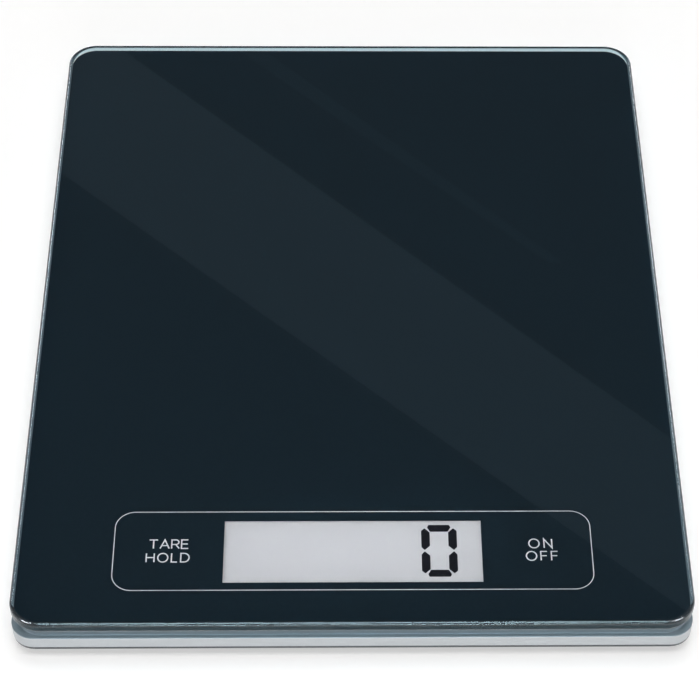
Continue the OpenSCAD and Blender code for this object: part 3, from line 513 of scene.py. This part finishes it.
# Light guide of clear acrylic, frosted to a milky back; smooth white ABS holder; strips of
# silicone in which dark and pale layers show as fine stripes
finish_nodes(speckled("frosted_acrylic", "#dfe5e8", "#e8edef", 0.0004,
                      {"Roughness": 0.35, "IOR": 1.49}, 0.00001), "lcd_reflector")
finish_nodes(speckled("white_moulded_abs", "#e2e3e0", "#e8e9e6", 0.0008,
                      {"Roughness": 0.42}, 0.00001, 0.0002), "lcd_holder")
finish_nodes(speckled("striped_silicone", "#2c2c2e", "#c9b9a2", 0.0002,
                      {"Roughness": 0.55}, 0.0, 0.0, (1, 0.05, 0.05)), "zebra_strips")

# ---- Foam ----
# Closed-cell foam, black and die-cut: the gasket round the display, the tape frame that bonds the
# glass to the tray and the pads on its ribs. Cells of about 0.2 mm make it dull.
finish_nodes(speckled("black_cell_foam", "#1d1f20", "#2b2d2f", 0.0002,
                      {"Roughness": 0.9}, 0.00004), "lcd_gasket", "adhesive_frame", "support_pads")

# ---- Tray ----
# Injection-moulded grey ABS, its edges broken by the mould to a small radius. Silver paint with a
# fine metallic flake is sprayed on its upright side alone. Below the turn of the flank it is
# painted a dark grey as painted shade under the tray. The lip below the glass is painted a mid
# blue-grey as painted shade in the gap under the glass, less deep for the light that comes
# through the glass's edge. The battery cover is grey ABS in the same dark grey.
mould_radius, silver_gap, silver_height = 0.0005, 0.0034, 0.0043
silver_top = glass_low.z - silver_gap
silver_foot = silver_top - silver_height
# A real flake is too fine to show, so it is drawn a quarter of a millimetre wide
flake_size = 0.00025
silver, tree = new_material("silver_abs_and_painted_shade")
place = add_node(tree, "ShaderNodeTexCoord")
flake = add_node(tree, "ShaderNodeTexVoronoi", {"Scale": 1 / flake_size},
                 Vector=place.outputs["Object"])
# The silver of the upright side, then painted shade: in the gap under the glass, and under the
# tray
tone, gap_shade_tone, underside_shade_tone = [
    add_node(tree, "ShaderNodeMix", {"data_type": "RGBA", 6: linear(first), 7: linear(second)},
             Factor=flake.outputs["Distance"])
    for first, second in (("#c6cacd", "#bdc3c7"), ("#7a868c", "#717d83"), ("#4c5154", "#45494c"))]
split = add_node(tree, "ShaderNodeSeparateXYZ", Vector=place.outputs["Object"])
# Above the silver band the gap's painted shade is used, below it the painted shade of the
# underside
gap_shade_mask = add_node(tree, "ShaderNodeMath", {"operation": "GREATER_THAN", 1: silver_top},
                _0=split.outputs["Z"])
underside_shade_mask = add_node(tree, "ShaderNodeMath", {"operation": "LESS_THAN", 1: silver_foot},
                 _0=split.outputs["Z"])
side = add_node(tree, "ShaderNodeMix", {"data_type": "RGBA"}, Factor=gap_shade_mask.outputs[0],
                _6=tone.outputs[2], _7=gap_shade_tone.outputs[2])
skin = add_node(tree, "ShaderNodeMix", {"data_type": "RGBA"}, Factor=underside_shade_mask.outputs[0],
                _6=side.outputs[2], _7=underside_shade_tone.outputs[2])
broken = add_node(tree, "ShaderNodeBevel", {"samples": 8, "Radius": mould_radius})
paint = add_node(tree, "ShaderNodeBsdfPrincipled", {"Metallic": 0.2, "Roughness": 0.38},
                 Base_Color=skin.outputs[2], Normal=broken.outputs[0])
add_node(tree, "ShaderNodeOutputMaterial", Surface=paint.outputs[0])
finish_nodes(silver, "base_tray")
finish_nodes(speckled("grey_moulded_abs", "#4c5154", "#45494c", 0.0004,
                      {"Roughness": 0.4}, 0.00001, 0.0003), "battery_cover")

# ---- Feet ----
# Each foot is a cup of dark ABS with a fine spark-eroded grain, a pressed-in pad of dull grey
# rubber and a rivet of bright zinc-plated steel that joins it to its load cell. All screws have
# the same plating.
corners = ("front_left", "front_right", "rear_left", "rear_right")
finish_nodes(speckled("grained_dark_abs", "#2a2c2e", "#34373a", 0.0003,
                      {"Roughness": 0.5}, 0.00002, 0.0003), *["foot_cup_" + c for c in corners])
finish_nodes(speckled("grey_rubber", "#6a6c6c", "#77797a", 0.0005,
                      {"Roughness": 0.85}, 0.00003, 0.0003), *["foot_pad_" + c for c in corners])
zinc = speckled("zinc_plated_steel", "#b9bdc0", "#cdd0d2", 0.0006,
                {"Metallic": 1.0, "Roughness": 0.28})
finish_nodes(zinc, "load_cell_screws", "board_screws", *["foot_rivet_" + c for c in corners])

# ---- Load cells ----
# Stamped spring steel with a soft shine, its rolling grain along the tongue. A constantan foil
# gauge is glued to each tongue's root and sealed with glossy white silicone.
finish_nodes(speckled("stamped_spring_steel", "#8b9197", "#a7acb1", 0.0004,
                      {"Metallic": 1.0, "Roughness": 0.34}, 0.000005, 0.0, (1, 0.04, 1)),
             *["load_cell_" + c for c in corners])
finish_nodes(speckled("constantan_foil", "#b98f45", "#d1a85b", 0.0003,
                      {"Metallic": 0.7, "Roughness": 0.4}, 0.0, 0.0, (1, 0.1, 1)), "strain_gauges")
finish_nodes(speckled("white_silicone", "#e4e4df", "#ededea", 0.0015,
                      {"Roughness": 0.3}, 0.00003, 0.0004), "gauge_coatings")

# ---- Main board ----
# Glass-epoxy board, its laminate seen as faint streaks through green solder resist. The
# controller is under a glossy drop of black epoxy. Copper foil electrodes behind the glass meet
# the board through gilt wire springs.
finish_nodes(speckled("green_solder_resist", "#1c5a34", "#237043", 0.0015,
                      {"Roughness": 0.3}, 0.00001, 0.0, (1, 0.2, 1)), "main_board")
finish_nodes(speckled("black_epoxy_drop", "#131315", "#1c1c1f", 0.002,
                      {"Roughness": 0.22}, 0.00005), "controller_chip")
finish_nodes(speckled("ceramic_and_tin", "#8d7a5e", "#c9c9c6", 0.0012,
                      {"Roughness": 0.4, "Metallic": 0.2}), "board_components")
finish_nodes(speckled("copper_foil", "#b56f45", "#c98357", 0.0005,
                      {"Metallic": 1.0, "Roughness": 0.35}), "touch_electrodes")
finish_nodes(speckled("gilt_spring_wire", "#c9a552", "#dcbc6c", 0.0003,
                      {"Metallic": 1.0, "Roughness": 0.25}), "touch_springs")

# ---- Batteries ----
# Three AAA cells in plain dark shrink sleeves with bare steel ends, held between nickel-plated
# springs and plates, which are a little warmer in tone.
_, battery_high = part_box("batteries")
bare_end = 0.0035
sleeve_reach = battery_high.x - bare_end
cell, tree = new_material("sleeved_battery")
place = add_node(tree, "ShaderNodeTexCoord")
split = add_node(tree, "ShaderNodeSeparateXYZ", Vector=place.outputs["Object"])
far = add_node(tree, "ShaderNodeMath", {"operation": "ABSOLUTE"}, _0=split.outputs["X"])
bare = add_node(tree, "ShaderNodeMath", {"operation": "GREATER_THAN", 1: sleeve_reach},
                _0=far.outputs[0])
sleeve = add_node(tree, "ShaderNodeBsdfPrincipled", {
    "Base Color": linear("#23262b"), "Roughness": 0.3})
steel = add_node(tree, "ShaderNodeBsdfPrincipled", {
    "Base Color": linear("#c4c4c0"), "Metallic": 1.0, "Roughness": 0.3})
both = add_node(tree, "ShaderNodeMixShader",
                _0=bare.outputs[0], _1=sleeve.outputs[0], _2=steel.outputs[0])
add_node(tree, "ShaderNodeOutputMaterial", Surface=both.outputs[0])
finish_nodes(cell, "batteries")
finish_nodes(speckled("nickel_plated_steel", "#b7b3a9", "#cbc7bc", 0.0005,
                      {"Metallic": 1.0, "Roughness": 0.26}), "battery_springs", "battery_contacts")

# ---- Unit button ----
# A light grey moulded cap that stands out of the belly. Above it a tact switch has a housing of
# black nylon and a plunger of natural nylon, both matt.
finish_nodes(speckled("light_grey_abs", "#d3d6d7", "#dadcdd", 0.0005,
                      {"Roughness": 0.4}, 0.00001, 0.0003), "unit_button")
finish_nodes(speckled("black_nylon", "#202122", "#2a2b2d", 0.0004,
                      {"Roughness": 0.45}, 0.00001), "unit_switch")
finish_nodes(speckled("natural_nylon", "#d9d7cd", "#e3e1d8", 0.0004,
                      {"Roughness": 0.4}), "switch_plunger")

# ---- Wires ----
# Stranded copper in soft PVC, which has a dull shine and is black from the load cells and red
# from the batteries.
finish_nodes(speckled("black_pvc", "#1b1b1d", "#242427", 0.0008,
                      {"Roughness": 0.4}, 0.00001), "load_cell_wires")
finish_nodes(speckled("red_pvc", "#a3221e", "#b02a25", 0.0008,
                      {"Roughness": 0.4}, 0.00001), "battery_wires")
